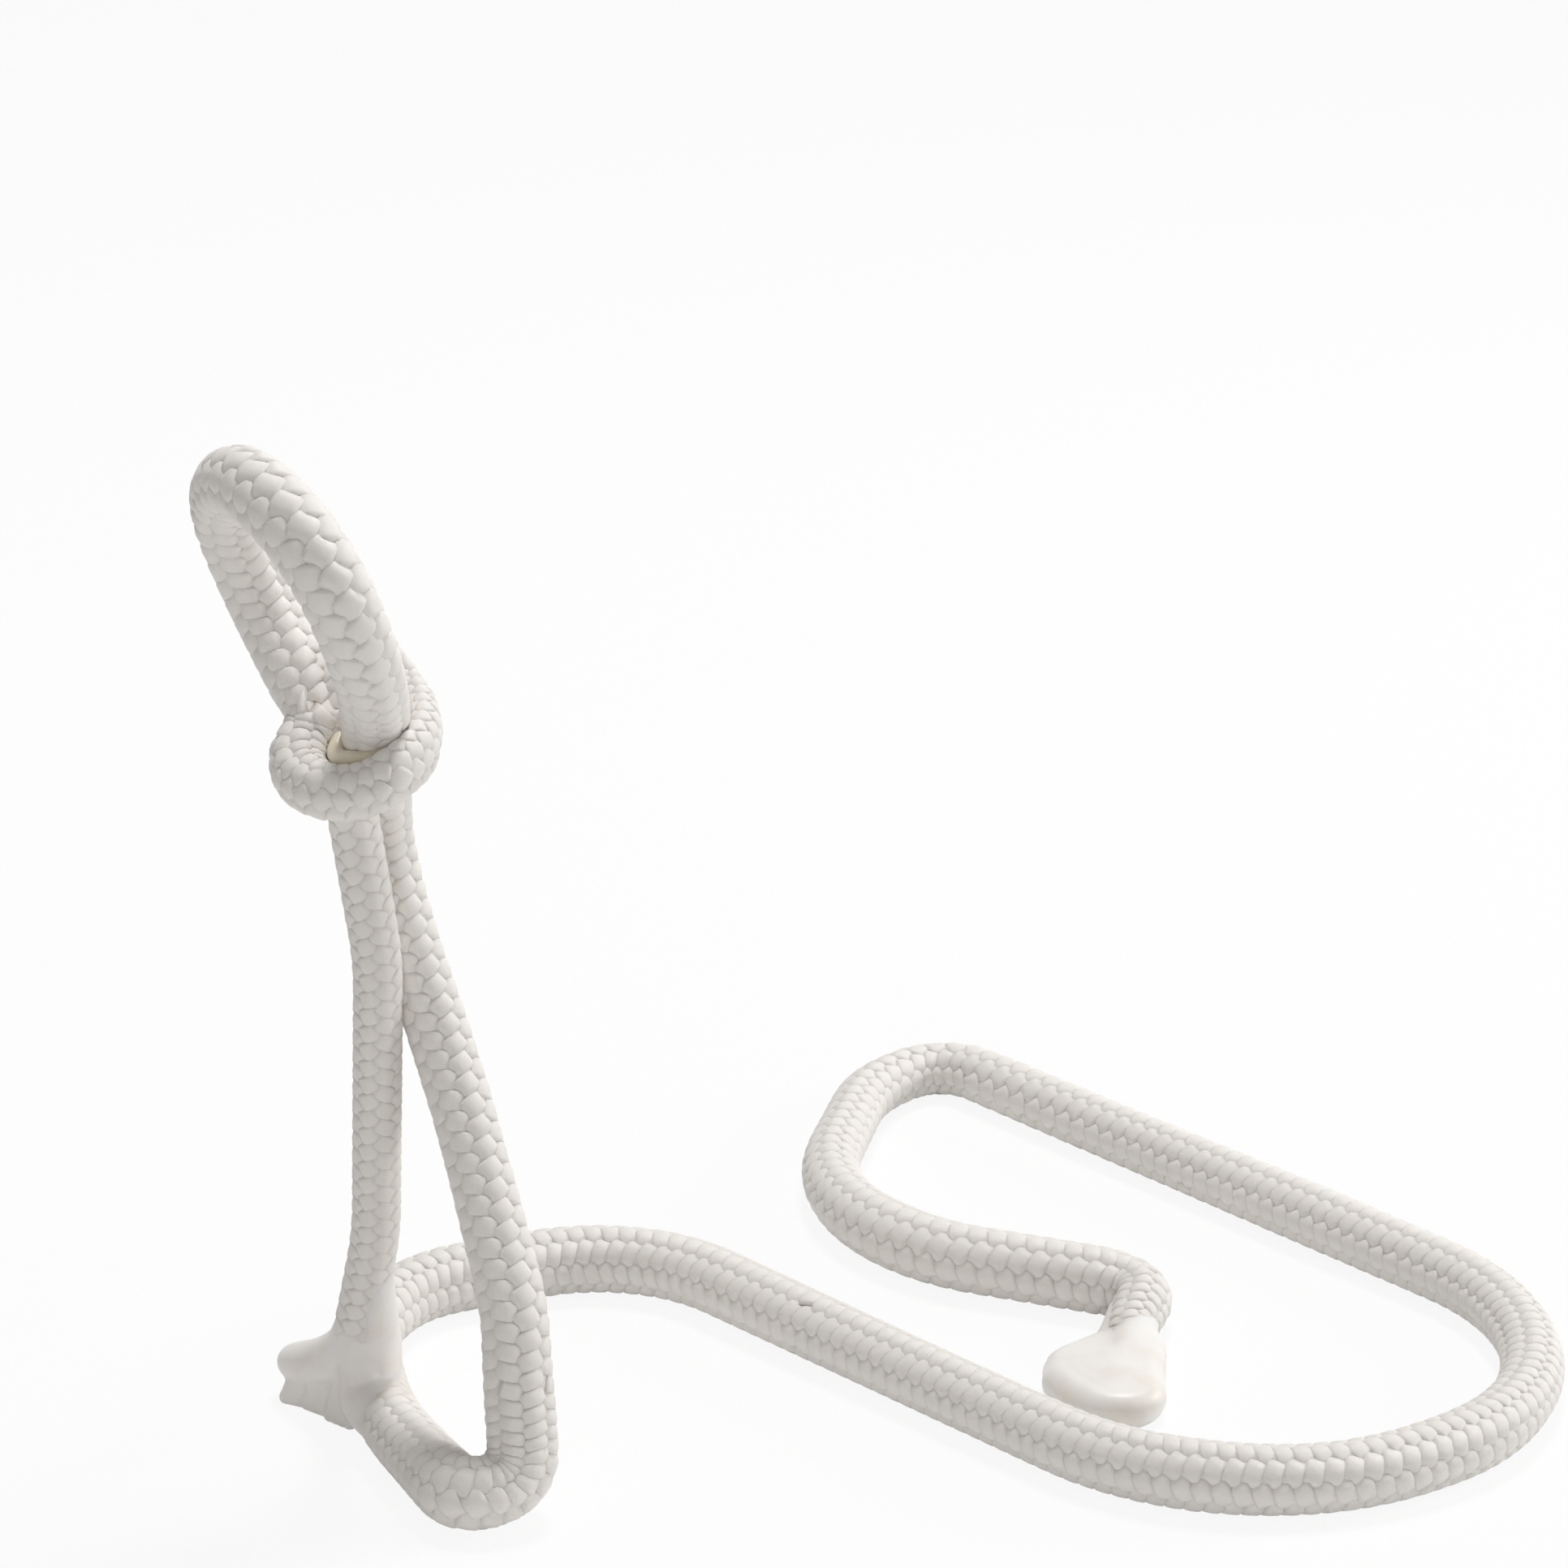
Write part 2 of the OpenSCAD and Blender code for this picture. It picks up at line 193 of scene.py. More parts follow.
# %% Make a way
def soften(values, reach):
    """A running average with a bell shape, so that a rope eases into its bends."""
    spread = int(3 * reach)
    bell = np.exp(-0.5 * (np.arange(-spread, spread + 1) / reach) ** 2)
    bell /= bell.sum()
    first = 2 * values[0] - values[spread:0:-1]
    last = 2 * values[-1] - values[-2:-spread - 2:-1]
    padded = np.concatenate([first, values, last])
    return np.stack([np.convolve(padded[:, c], bell, "valid") for c in range(values.shape[1])], 1)


def make_way(points, side, halves, pitch, twist=0.0):
    """A way: points, side vectors, outer half sizes, and the phase of the braid at each point."""
    points = np.asarray(points, float)
    steps = np.linalg.norm(np.diff(points, axis=0), axis=1)
    at = np.concatenate([[0], np.cumsum(steps)])
    along = unit(np.gradient(points, at, axis=0))
    sides = np.zeros_like(points)
    side = np.array(side, float)
    for i, d in enumerate(along):
        side = unit(side - (side @ d) * d)
        sides[i] = side
    pitch = np.broadcast_to(pitch, at.shape)
    phase = np.concatenate([[0], np.cumsum(steps * math.pi / (pitch[1:] + pitch[:-1]))])
    return {
        "at": at, "points": points, "along": along, "side": sides,
        "cross": np.cross(along, sides), "halves": np.broadcast_to(halves, (len(at), 2)),
        "curve": np.gradient(along, at, axis=0), "pitch": pitch, "phase": phase,
        "twist": np.broadcast_to(twist, at.shape),
    }


def read(way, name, where):
    """One quantity of a way at any distances along it."""
    values = way[name]
    if values.ndim == 1:
        return np.interp(where, way["at"], values)
    return np.stack([np.interp(where, way["at"], values[:, c]) for c in range(values.shape[1])], 1)


# %% [markdown]
# ## Thick and thin stretches
# A braid is fatter where it is pushed together and thinner where it is pulled. These tables give
# the rope's radius and the length of one stitch at places along the route, and how far the riser
# sways to the right of its corners' line. The rope lies on the table, so its middle is as high as
# its radius there, less the flat.

# %% The rope's way
# Length over which the rope leaves the table's height before the heel, and ease of the bends
LIFT_OFF = 12
EASE = 4
rope_points, legs = rounded(ROUTE)


def leg_place(leg, share):
    return legs[leg][0] + (legs[leg][1] - legs[leg][0]) * share


heel = leg_place(12, 0.0)
radius_table = [
    (0, 5.2), (30, 5.6), (44, 6.2), (54, 6.8), (100, 6.8), (115, 6.5), (128, 6.1), (157, 5.8),
    (190, 5.6), (205, 6.0), (258, 6.2), (295, 6.45), (330, 6.35), (352, 6.2), (385, 6.15),
    (409, 6.5), (435, 6.5), (463, 6.75), (502, 6.45), (535, 6.5), (577, 6.7), (637, 6.8),
    (662, 6.4), (700, 6.2), (720, 6.45), (735, 6.9), (750, 6.8), (766, 6.5), (790, 6.15),
    (805, 5.9), (leg_place(14, 0.5), 5.9), (leg_place(15, 0.5), 6.2), (leg_place(16, 0.5), 6.5),
    (leg_place(18, 0.5), 6.75), (leg_place(20, 0.5), 6.4), (legs[-1][1], 5.6),
]
pitch_table = [
    (0, 3.4), (40, 2.8), (48, 2.8), (62, 4.0), (100, 4.1), (150, 4.2), (200, 4.4), (220, 4.6),
    (242, 4.1), (266, 3.6), (330, 3.65), (362, 3.2), (390, 3.2), (430, 3.6), (458, 3.35),
    (482, 3.25), (510, 3.5), (540, 3.4), (580, 3.6), (640, 3.5), (700, 3.6), (728, 3.2),
    (738, 2.4), (752, 2.4), (766, 3.6), (790, 4.0), (leg_place(14, 0.5), 3.9),
    (leg_place(15, 0.5), 3.6), (leg_place(16, 0.5), 3.4), (leg_place(17, 0.0), 4.1),
    (leg_place(19, 0.0), 4.1), (leg_place(20, 0.0), 4.0), (legs[-1][1], 3.2),
]
sway_table = [(765, 0), (800, 0.7), (815, 0.8), (830, 0.3), (842, -0.5), (856, -0.8), (872, 0)]
at = np.concatenate([[0], np.cumsum(np.linalg.norm(np.diff(rope_points, axis=0), axis=1))])
rope_radius = np.interp(at, *zip(*radius_table))
rope_pitch = np.interp(at, *zip(*pitch_table))
rope_sway = np.interp(at, *zip(*sway_table))
on_table = np.clip((heel - at) / LIFT_OFF, 0, 1)
rope_points[:, 2] += (rope_radius - ROPE_R) * on_table
rope_points += rope_sway[:, None] * RIGHT
rope_points = soften(rope_points, EASE)
rope_way = make_way(
    rope_points, (0, 0, 1), np.stack([rope_radius, rope_radius], 1), rope_pitch
)
print("rope over the rod:", round(rope_way["at"][-1]), "mm")

# %% [markdown]
# ## One strand, eight strands
# The rope is braided from eight fat strands, four that wind one way and four the other. Each
# passes over one strand and under the next, so each stitch is a short pillow, and the stitches
# stand in eight columns along the rope. A bump map could only hint at that, so the strands are
# real geometry: a flattened section is swept along each strand's own path. The primitive circle
# gives the section, and its points are squared a little, because packed yarn isn't round.

# %% Section of a strand
SQUARED = 0.62
SECTION_POINTS = 12
bpy.ops.object.select_all(action="DESELECT")
bpy.ops.mesh.primitive_circle_add(vertices=SECTION_POINTS, radius=1)
section_circle = bpy.context.object
section = np.array([v.co[:2] for v in section_circle.data.vertices])
section = np.sign(section) * np.abs(section) ** SQUARED
bpy.ops.object.delete()
section = section[np.argsort(np.arctan2(section[:, 1], section[:, 0]))]
print("points round a strand:", len(section))

# %% [markdown]
# ## Where the braid is drowned
# Near the melted foot, the melted tip and the resin, the yarn is soaked and its relief fades.
# Each such place is a ball: inside the first radius the braid is nearly smooth, and outside the
# second it is untouched.

# %% Soaked places
LEAST_RELIEF = 0.12
SOAKED = [
    ((7.0, 1.0, 7.0), 9.0, 17.0),
    ((4.0, -7.0, 12.0), 8.0, 14.0),
    ((124.0, -80.0, 5.0), 12.0, 22.0),
    (tuple(knot_point(0.35, 0.75, 0.24)), 1.0, 4.2),
]


def relief_at(places):
    relief = np.ones(len(places))
    for middle, inner, outer in SOAKED:
        share = (np.linalg.norm(places - np.array(middle), axis=1) - inner) / (outer - inner)
        share = np.clip(share, 0, 1)
        relief = np.minimum(relief, share * share * (3 - 2 * share))
    return LEAST_RELIEF + (1 - LEAST_RELIEF) * relief


print("soaked places:", len(SOAKED))

# %% [markdown]
# ## Round the rope
# At any angle round the rope, one helper gives the step from its middle out to its surface, and
# another shapes the wave by which a strand rides up and down. A plain wave would lift the strand
# for a moment only, so the wave is flattened at its ends, and the strand stays up or down for most
# of a stitch.

# %% Where a strand lies
# Strands of each hand, and a strand's thickness as a share of the rope's radius
STRANDS = 4
STRAND_SHARE = 0.28
# Half a strand's width as a share of the stitches' spacing
STRAND_WIDTH = 0.57
# Depth of a strand's middle in strand thicknesses: over, under, and where the rope is soaked
HIGH_DEPTH, LOW_DEPTH, FLAT_DEPTH = 0.50, 1.34, 0.5
# Limits of a strand's width on the inside and the outside of a bend
LEAST_SQUEEZE, MOST_STRETCH = 0.25, 1.7


def round_rope(here, angle):
    """The step from the rope's middle to its surface at an angle, and the surface's normal."""
    across, up = np.cos(angle)[:, None] * here["side"], np.sin(angle)[:, None] * here["cross"]
    wide, high = here["halves"][:, :1], here["halves"][:, 1:]
    return across * wide + up * high, unit(across * high + up * wide)


def flatten(wave):
    return wave * (15 - 10 * wave ** 2 + 3 * wave ** 4) / 8


def strand_rings(here, hand, start_angle, relief):
    """Rings of points along one strand, its length at each ring and how high it rides there."""
    angle = hand * here["phase"] + start_angle
    over = flatten(hand * np.cos(STRANDS * angle))
    angle = angle + here["twist"]
    out, normal = round_rope(here, angle)
    surface = here["points"] + out
    calm = relief_at(surface) if relief is None else relief(surface, angle)
    middle_depth, half_travel = (HIGH_DEPTH + LOW_DEPTH) / 2, (LOW_DEPTH - HIGH_DEPTH) / 2
    braided = middle_depth - half_travel * over
    depth = here["thick"] * (calm * braided + (1 - calm) * FLAT_DEPTH)
    centre = here["points"] + out * (1 - depth / np.linalg.norm(out, axis=1))[:, None]
    along = unit(np.gradient(centre, axis=0))
    normal = unit(normal - (normal * along).sum(1)[:, None] * along)
    stretch = 1 - (here["curve"] * (centre - here["points"])).sum(1)
    stretch = np.clip(stretch, LEAST_SQUEEZE, MOST_STRETCH)
    spacing = here["pitch"] * np.sin(here["slope"])
    half_wide = STRAND_WIDTH * spacing * stretch * (0.95 + 0.05 * over)
    half_thick = 0.5 * here["thick"] * (0.97 + 0.08 * over)
    rings = (
        centre[:, None]
        + (half_wide[:, None] * section[None, :, 0])[..., None] * np.cross(along, normal)[:, None]
        + (half_thick[:, None] * section[None, :, 1])[..., None] * normal[:, None]
    )
    steps = np.linalg.norm(np.diff(centre, axis=0), axis=1)
    return rings, np.concatenate([[0], np.cumsum(steps)]), 0.5 + 0.5 * over * calm


# %% [markdown]
# ## Lay all the strands
# The four strands of one hand never meet, because each starts a quarter turn after the last.
# Under the strands lies a plain lining, so that nobody sees through the gaps, and it is painted
# with the darkest shade. The lining and every strand are tubes whose ends are closed.

# %% Lay the strands
# Distance between a strand's rings, and how many of these the lining skips
STRAND_STEP = 0.31
LINING_STEP = 4
LINING_SIDES = 16
# The lining's size as a share of the rope's
LINING_SHARE = 1 - 1.45 * STRAND_SHARE
# Millimetres along a strand for one unit of the UV map, and units of it round a strand
YARN_LENGTH = 4
YARN_ROUND = 8
# Painted shade at a strand's edges: how much deeper they count than its middle, so they come out
# darker
EDGE_SHADE = 0.35


def tube_faces(count, sides, first):
    """Quads between rings of points that are numbered on from the first, and the two ends."""
    starts = first + np.arange(count - 1)[:, None] * sides
    a = (starts + np.arange(sides)).ravel()
    b = (starts + (np.arange(sides) + 1) % sides).ravel()
    faces = np.stack([a, a + sides, b + sides, b], 1).tolist()
    faces.append(list(range(first, first + sides)))
    faces.append(list(range(first + (count - 1) * sides, first + count * sides))[::-1])
    return faces


def braid(way, start, end, relief=None):
    """Points, faces, UVs and painted-shade depth of eight strands and their lining from start to
    end.
    """
    where = np.linspace(start, end, max(2, round((end - start) / STRAND_STEP)) + 1)
    # Rings past the way's end would all lie on one place
    where = np.unique(np.minimum(where, way["at"][-1]))
    here = {name: read(way, name, where) for name in way if name != "at"}
    here["side"], here["cross"] = unit(here["side"]), unit(here["cross"])
    mean_half = here["halves"].mean(1)
    # Thickness of a strand, and its slope to the rope's length
    here["thick"] = STRAND_SHARE * mean_half
    here["slope"] = np.arctan2(2 * math.pi * mean_half, STRANDS * here["pitch"])
    # Painted shade: a strand's edges count as deeper, so the material darkens them
    edges = EDGE_SHADE * np.clip(1 - section[:, 1], 0, 1) ** 2
    tubes = []
    for hand in (1, -1):
        for k in range(STRANDS):
            rings, lengths, high = strand_rings(here, hand, k * math.pi / 2, relief)
            tubes.append((rings, lengths, high[:, None] - edges[None]))

    coarse = np.unique(np.append(np.arange(0, len(where), LINING_STEP), len(where) - 1))
    turns = np.arange(LINING_SIDES)[::-1] * 2 * math.pi / LINING_SIDES
    lining = np.stack([
        here["points"] + LINING_SHARE * round_rope(here, np.full(len(where), turn))[0]
        for turn in turns
    ], 1)[coarse]
    # The lining's depth is zero, so it gets the darkest painted shade
    tubes.append((lining, where[coarse], np.zeros(lining.shape[:2])))

    points, faces, uvs = [], [], []
    first = 0
    for rings, lengths, deep in tubes:
        count, sides = rings.shape[:2]
        points.append(rings.reshape(-1, 3))
        faces.extend(tube_faces(count, sides, first))
        round_it = np.abs(np.arange(sides) / sides - 0.5) * YARN_ROUND
        uvs.append(np.stack([np.repeat(lengths / YARN_LENGTH, sides), np.tile(round_it, count)], 1))
        first += count * sides
    shade_depths = [deep.ravel() for rings, lengths, deep in tubes]
    return np.concatenate(points), faces, np.concatenate(uvs), np.concatenate(shade_depths)


# %% [markdown]
# ## A piece from strands
# The points become a mesh whose object sits at the origin. Nothing may sink below the table, so
# lower points are lifted onto it: that is the flat that a rope's own weight presses. The UV map
# runs along each strand for the yarn, and an attribute tells the material how high or deep a
# point lies between the strands, so that it paints shade into the deep places.

# %% Make a braided piece
def braided_piece(name, way, start, end, relief=None):
    points, faces, uvs, shade_depths = braid(way, start, end, relief)
    points = points * MM
    points[:, 2] = np.maximum(points[:, 2], 0)
    mesh = bpy.data.meshes.new(name)
    mesh.from_pydata(points.tolist(), [], faces)
    loops = np.zeros(len(mesh.loops), np.int32)
    mesh.loops.foreach_get("vertex_index", loops)
    layer = mesh.uv_layers.new(name="yarn")
    layer.data.foreach_set("uv", uvs[loops].astype(np.float32).ravel())
    # The depth attribute sets the painted shade between the strands
    deep = mesh.attributes.new("depth", "FLOAT", "POINT")
    deep.data.foreach_set("value", shade_depths.astype(np.float32))
    mesh.polygons.foreach_set("use_smooth", np.ones(len(mesh.polygons), bool))
    mesh.update()
    piece = bpy.data.objects.new(name, mesh)
    scene.collection.objects.link(piece)
    triangles = sum(len(p.vertices) - 2 for p in mesh.polygons)
    print(name, triangles, "triangles")
    return piece


# %% [markdown]
# ## Helpers for materials
# Each finish here is a noise, a few colours and a little relief, so small helpers make these
# nodes. Values that are the same all over go straight onto the shader's sockets.

# %% Material helpers
def new_material(name):
    material = bpy.data.materials.new(name)
    material.use_nodes = True
    nodes = material.node_tree.nodes
    return material, nodes, material.node_tree.links, nodes["Principled BSDF"]


def noise(nodes, links, coordinates, scale, detail, stretch=(1, 1, 1)):
    mapping = nodes.new("ShaderNodeMapping")
    mapping.inputs["Scale"].default_value = stretch
    texture = nodes.new("ShaderNodeTexNoise")
    texture.inputs["Scale"].default_value = scale
    texture.inputs["Detail"].default_value = detail
    links.new(coordinates, mapping.inputs["Vector"])
    links.new(mapping.outputs["Vector"], texture.inputs["Vector"])
    return texture.outputs["Fac"]


def colour_steps(nodes, links, factor, stops):
    ramp = nodes.new("ShaderNodeValToRGB")
    while len(ramp.color_ramp.elements) < len(stops):
        ramp.color_ramp.elements.new(0.5)
    for element, (place, colour) in zip(ramp.color_ramp.elements, stops):
        element.position = place
        element.color = (*colour, 1)
    links.new(factor, ramp.inputs["Fac"])
    return ramp.outputs["Color"]


def bump(nodes, links, height, strength, distance):
    relief = nodes.new("ShaderNodeBump")
    relief.inputs["Strength"].default_value = strength
    relief.inputs["Distance"].default_value = distance
    links.new(height, relief.inputs["Height"])
    return relief.outputs["Normal"]


def object_noise(nodes, links, scale, detail):
    place = nodes.new("ShaderNodeTexCoord")
    return noise(nodes, links, place.outputs["Object"], scale, detail)


def give_finish(shader, finish):
    for socket, value in finish.items():
        shader.inputs[socket].default_value = value


# %% [markdown]
# ## Braided nylon
# White nylon yarn scatters light inside, so its shadows are soft and slightly warm. The material
# has a little subsurface light, a sheen, fine filaments along the strand from a stretched noise
# on the UV map, and painted shade, darker and warmer, deep between the strands and at their
# edges from the depth attribute.

# %% Material of the rope
# The last stop is the nylon's own colour; the lower stops are painted shade, darker and warmer, for
# deep places
NYLON_AND_PAINTED_SHADE = [
    (0.0, (0.50, 0.42, 0.33)), (0.35, (0.76, 0.70, 0.63)), (0.75, (0.89, 0.86, 0.82)),
]
nylon, nodes, links, shader = new_material("braided nylon")
yarn = nodes.new("ShaderNodeUVMap")
yarn.uv_map = "yarn"
depth = nodes.new("ShaderNodeAttribute")
depth.attribute_name = "depth"
tone = colour_steps(nodes, links, depth.outputs["Fac"], NYLON_AND_PAINTED_SHADE)
links.new(tone, shader.inputs["Base Color"])
filaments = noise(nodes, links, yarn.outputs["UV"], 9, 2, (0.35, 4, 1))
links.new(bump(nodes, links, filaments, 0.4, 0.0003), shader.inputs["Normal"])
give_finish(shader, {
    "Roughness": 0.46, "Sheen Weight": 0.15, "Sheen Roughness": 0.4,
    "Subsurface Weight": 0.15, "Subsurface Radius": (1.0, 0.85, 0.7),
    "Subsurface Scale": 0.0008,
})
print("material:", nylon.name)

# %% [markdown]
# ## The rope over the rod
# The rope is one length, but the solids divide it into named stretches, so the pieces do too.
# They share one way and one phase, and so the strands run on from piece to piece.

# %% Stretches of rope
def dress(piece, material, solid):
    piece.data.materials.clear()
    piece.data.materials.append(material)
    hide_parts(solid)
    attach(piece, "root")


STARTS = {
    "rope_far": leg_place(1, 0.03), "rope_bow": leg_place(4, 0.5), "rope_foot": leg_place(6, 0.7),
    "rope_riser": leg_place(12, 0.5), "rope_noose": leg_place(15, 0.4),
}
ends = [*list(STARTS.values())[1:], legs[-1][1]]
for (name, start), end in zip(STARTS.items(), ends):
    piece = braided_piece(name + "_braid", rope_way, start, end)
    dress(piece, nylon, name)

# %% [markdown]
# ## The knot
# Past the end of the rod the rope is limp. It bulges to the left, crosses the front of the riser
# as a band, is squeezed on the right, goes up behind and turns back into the knot. Its way is a
# smooth curve through a few places in the knot's own frame: right, front and up in rope widths,
# with its half thickness and half height in widths of the limp rope. The side vector always points
# away from the riser, so the band lies flat on it.

# %% Way of the limp rope round the riser
WRAP = np.array([
    (-0.51, -0.35, 0.50, 0.64, 0.66), (-0.64, -0.18, 0.22, 0.64, 0.64),
    (-0.78, 0.10, 0.02, 0.62, 0.62), (-0.75, 0.48, -0.16, 0.58, 0.61),
    (-0.44, 0.88, -0.22, 0.52, 0.58), (-0.03, 1.03, -0.20, 0.52, 0.57),
    (0.34, 1.01, -0.10, 0.50, 0.56), (0.64, 0.88, 0.05, 0.45, 0.56),
    (0.92, 0.50, 0.20, 0.37, 0.58), (0.98, 0.00, 0.34, 0.37, 0.58),
    (0.82, -0.48, 0.48, 0.42, 0.56), (0.60, -0.80, 0.68, 0.46, 0.52),
    (0.42, -0.94, 0.93, 0.46, 0.48), (0.26, -1.00, 1.12, 0.44, 0.44),
    (0.05, -0.94, 1.20, 0.42, 0.43), (-0.14, -0.76, 1.12, 0.42, 0.43),
    (-0.25, -0.56, 0.88, 0.42, 0.43), (-0.28, -0.38, 0.58, 0.42, 0.43),
])
LIMP_D = 9.2
LIMP_PITCH = 2.9
WRAP_STEPS = 16


def through(stations, steps):
    """A smooth curve through stations, with so many points from each to the next."""
    ends = np.concatenate([stations[:1], stations, stations[-1:]])
    out = []
    for i in range(len(stations) - 1):
        a, b, c, d = ends[i:i + 4]
        for t in np.arange(steps) / steps:
            out.append(
                b + t / 2 * (c - a) + t * t / 2 * (2 * a - 5 * b + 4 * c - d)
                + t ** 3 / 2 * (3 * b - a - 3 * c + d)
            )
    return np.array(out + [stations[-1]])


wrap = through(WRAP, WRAP_STEPS)
wrap_points = np.array([knot_point(*row[:3]) for row in wrap])
wrap_way = make_way(wrap_points, (0, 0, 1), LIMP_D * wrap[:, 3:], LIMP_PITCH)
rise = RISER_HIGH - RISER_LOW
for i, place in enumerate(wrap_points):
    riser_middle = RISER_LOW + rise * (place[2] - RISER_LOW[2]) / rise[2]
    away = place - riser_middle
    ahead = wrap_way["along"][i]
    wrap_way["side"][i] = unit(away - (away @ ahead) * ahead)
wrap_way["cross"] = np.cross(wrap_way["along"], wrap_way["side"])
wrap_braid = braided_piece("knot_wrap_braid", wrap_way, 0, wrap_way["at"][-1])
dress(wrap_braid, nylon, "knot_wrap")
print("limp rope of the knot:", round(wrap_way["at"][-1]), "mm")

# %% [markdown]
# ## The tail
# The tail hangs limp from under the band. It is soaked on its right side, so the stitches show
# as a relief only on the left and as small dents on the right.

# %% Way of the tail
TAIL = [
    (knot_point(-0.06, 0.65, -0.40), 0),
    ((2.6, -13.9, 100.0), 68),
    ((2.5, -10.4, 43.8), 68),
    ((1.0, -5.5, 21.9), 0),
]
TAIL_PITCH = 3.5
TAIL_TURN = math.radians(20)
SOAKED_SIDE = 0.6
tail_points = rounded(TAIL)[0]
tail_share = np.linspace(0, 1, len(tail_points))
tail_radius = np.interp(tail_share, [0, 0.3, 0.9, 1], [4.7, 4.6, 4.6, 4.8])
tail_halves = np.stack([tail_radius, tail_radius], 1)
tail_way = make_way(tail_points, RIGHT, tail_halves, TAIL_PITCH, TAIL_TURN)


def tail_relief(places, angle):
    faces_right = np.clip(0.5 + 0.9 * np.cos(angle - TAIL_TURN), 0, 1)
    return relief_at(places) * (1 - SOAKED_SIDE * faces_right)


tail_braid = braided_piece("rope_tail_braid", tail_way, 0, tail_way["at"][-1], tail_relief)
dress(tail_braid, nylon, "rope_tail")
print("tail:", round(tail_way["at"][-1]), "mm")

# %% [markdown]
# ## Melted nylon
# Where a rope's end is melted it turns to smooth, waxy plastic. Such a lump has no edges of its
# own: it is several rounded masses run together. So spheres are placed and scaled, joined,
# remeshed into one skin and smoothed. Sculpting would work too, but couldn't be repeated exactly.

# %% Melt spheres into one lump
def lump(name, balls, grain, passes):
    """One smooth skin round balls given as place and half sizes, in millimetres."""
    bpy.ops.object.select_all(action="DESELECT")
    made = []
    for place, sizes in balls:
        bpy.ops.mesh.primitive_uv_sphere_add(
            segments=24, ring_count=14, radius=MM, location=np.array(place) * MM, scale=sizes,
        )
        made.append(bpy.context.object)
    bpy.ops.object.select_all(action="DESELECT")
    for ball in made:
        ball.select_set(True)
    bpy.context.view_layer.objects.active = made[0]
    bpy.ops.object.join()
    piece = bpy.context.object
    piece.name = name
    bpy.ops.object.transform_apply(location=True, rotation=True, scale=True)
    remesh = piece.modifiers.new("one skin", "REMESH")
    remesh.mode = "VOXEL"
    remesh.voxel_size = grain * MM
    bpy.ops.object.modifier_apply(modifier=remesh.name)
    smooth = piece.modifiers.new("run smooth", "SMOOTH")
    smooth.factor = 0.5
    smooth.iterations = passes
    bpy.ops.object.modifier_apply(modifier=smooth.name)
    for vertex in piece.data.vertices:
        vertex.co.z = max(vertex.co.z, 0)
    bpy.ops.object.shade_smooth()
    bpy.ops.object.select_all(action="DESELECT")
    print(name, len(piece.data.polygons), "faces")
    return piece


def chain(stations, steps):
    """Balls that follow one another closely along stations of place and half size."""
    return [(row[:3], (row[3],) * 3) for row in through(np.array(stations, float), steps)]


# %% [markdown]
# ## The finish of melted nylon
# Melted nylon is off-white, waxy and lets some light in. Its colour varies a little from place to
# place, and a fine bump breaks the highlights.

# %% Material of the melted ends
MELT_COLOURS = [
    (0.30, (0.83, 0.79, 0.74)), (0.5, (0.87, 0.85, 0.82)), (0.68, (0.88, 0.87, 0.855)),
]
melted, nodes, links, shader = new_material("melted nylon")
tone = colour_steps(nodes, links, object_noise(nodes, links, 110, 3), MELT_COLOURS)
links.new(tone, shader.inputs["Base Color"])
skin = bump(nodes, links, object_noise(nodes, links, 420, 2), 0.12, 0.0003)
links.new(skin, shader.inputs["Normal"])
give_finish(shader, {
    "Roughness": 0.42, "Subsurface Weight": 0.45, "Subsurface Radius": (1.0, 0.9, 0.75),
    "Subsurface Scale": 0.003,
})
print("material:", melted.name)

# %% [markdown]
# ## The melted foot of the tail
# The tail's end was melted onto the base. It made a nose that sticks out to the back, a sleeve
# round the rope of the base, and a skirt of lobes that ran down to the table. The nose, the
# column, the flow and the sleeve are chains of balls. Each lobe is a fan of small balls from its
# root down to the table, and a few balls fill the skirt between the lobes.

# %% Foot of the tail
NOSE = [
    (1.0, -5.5, 22.0, 4.7), (0.9, -2.6, 17.0, 4.8), (0.6, 1.8, 13.0, 4.7), (0.1, 6.2, 10.0, 4.6),
    (-0.5, 9.8, 8.2, 4.4), (-1.2, 12.8, 7.2, 4.0), (-1.6, 14.0, 6.9, 3.5),
]
COLUMN = [
    (1.0, -5.5, 20.0, 4.6), (1.4, -5.4, 14.0, 4.5), (1.8, -5.0, 8.5, 4.2), (2.0, -4.6, 4.0, 3.6),
]
FLOW = [
    (2.5, -9.0, 33.0, 3.9), (2.9, -8.0, 26.0, 4.5), (4.0, -6.4, 18.0, 5.0), (5.2, -3.4, 11.5, 5.6),
    (6.6, 0.4, 8.0, 6.0),
]
SLEEVE = [
    (13.4, 13.0, 6.0, 5.2), (10.6, 8.0, 6.2, 6.1), (7.2, 1.8, 6.4, 6.4), (3.8, -5.2, 6.5, 6.6),
    (2.2, -9.4, 6.3, 6.2), (1.0, -13.0, 6.1, 5.4),
]
LOBES = [
    ((-4.9, 12.4), (-3.4, 9.6), (-1.0, 11.0, 7.0)),
    ((-2.9, 7.6), (-1.7, 3.6), (0.2, 5.5, 8.5)),
    ((-1.9, 1.2), (-0.6, -3.6), (1.2, -1.2, 10.0)),
]
LOBE_TIP_R, LOBE_GROWTH = 1.4, 1.5
FILLED = [(-3.0, 8.6), (-1.2, 2.4)]
FILL_RISES = (1.2, 3.4, 5.6)
foot_balls = [ball for stations in (NOSE, COLUMN, FLOW, SLEEVE) for ball in chain(stations, 4)]
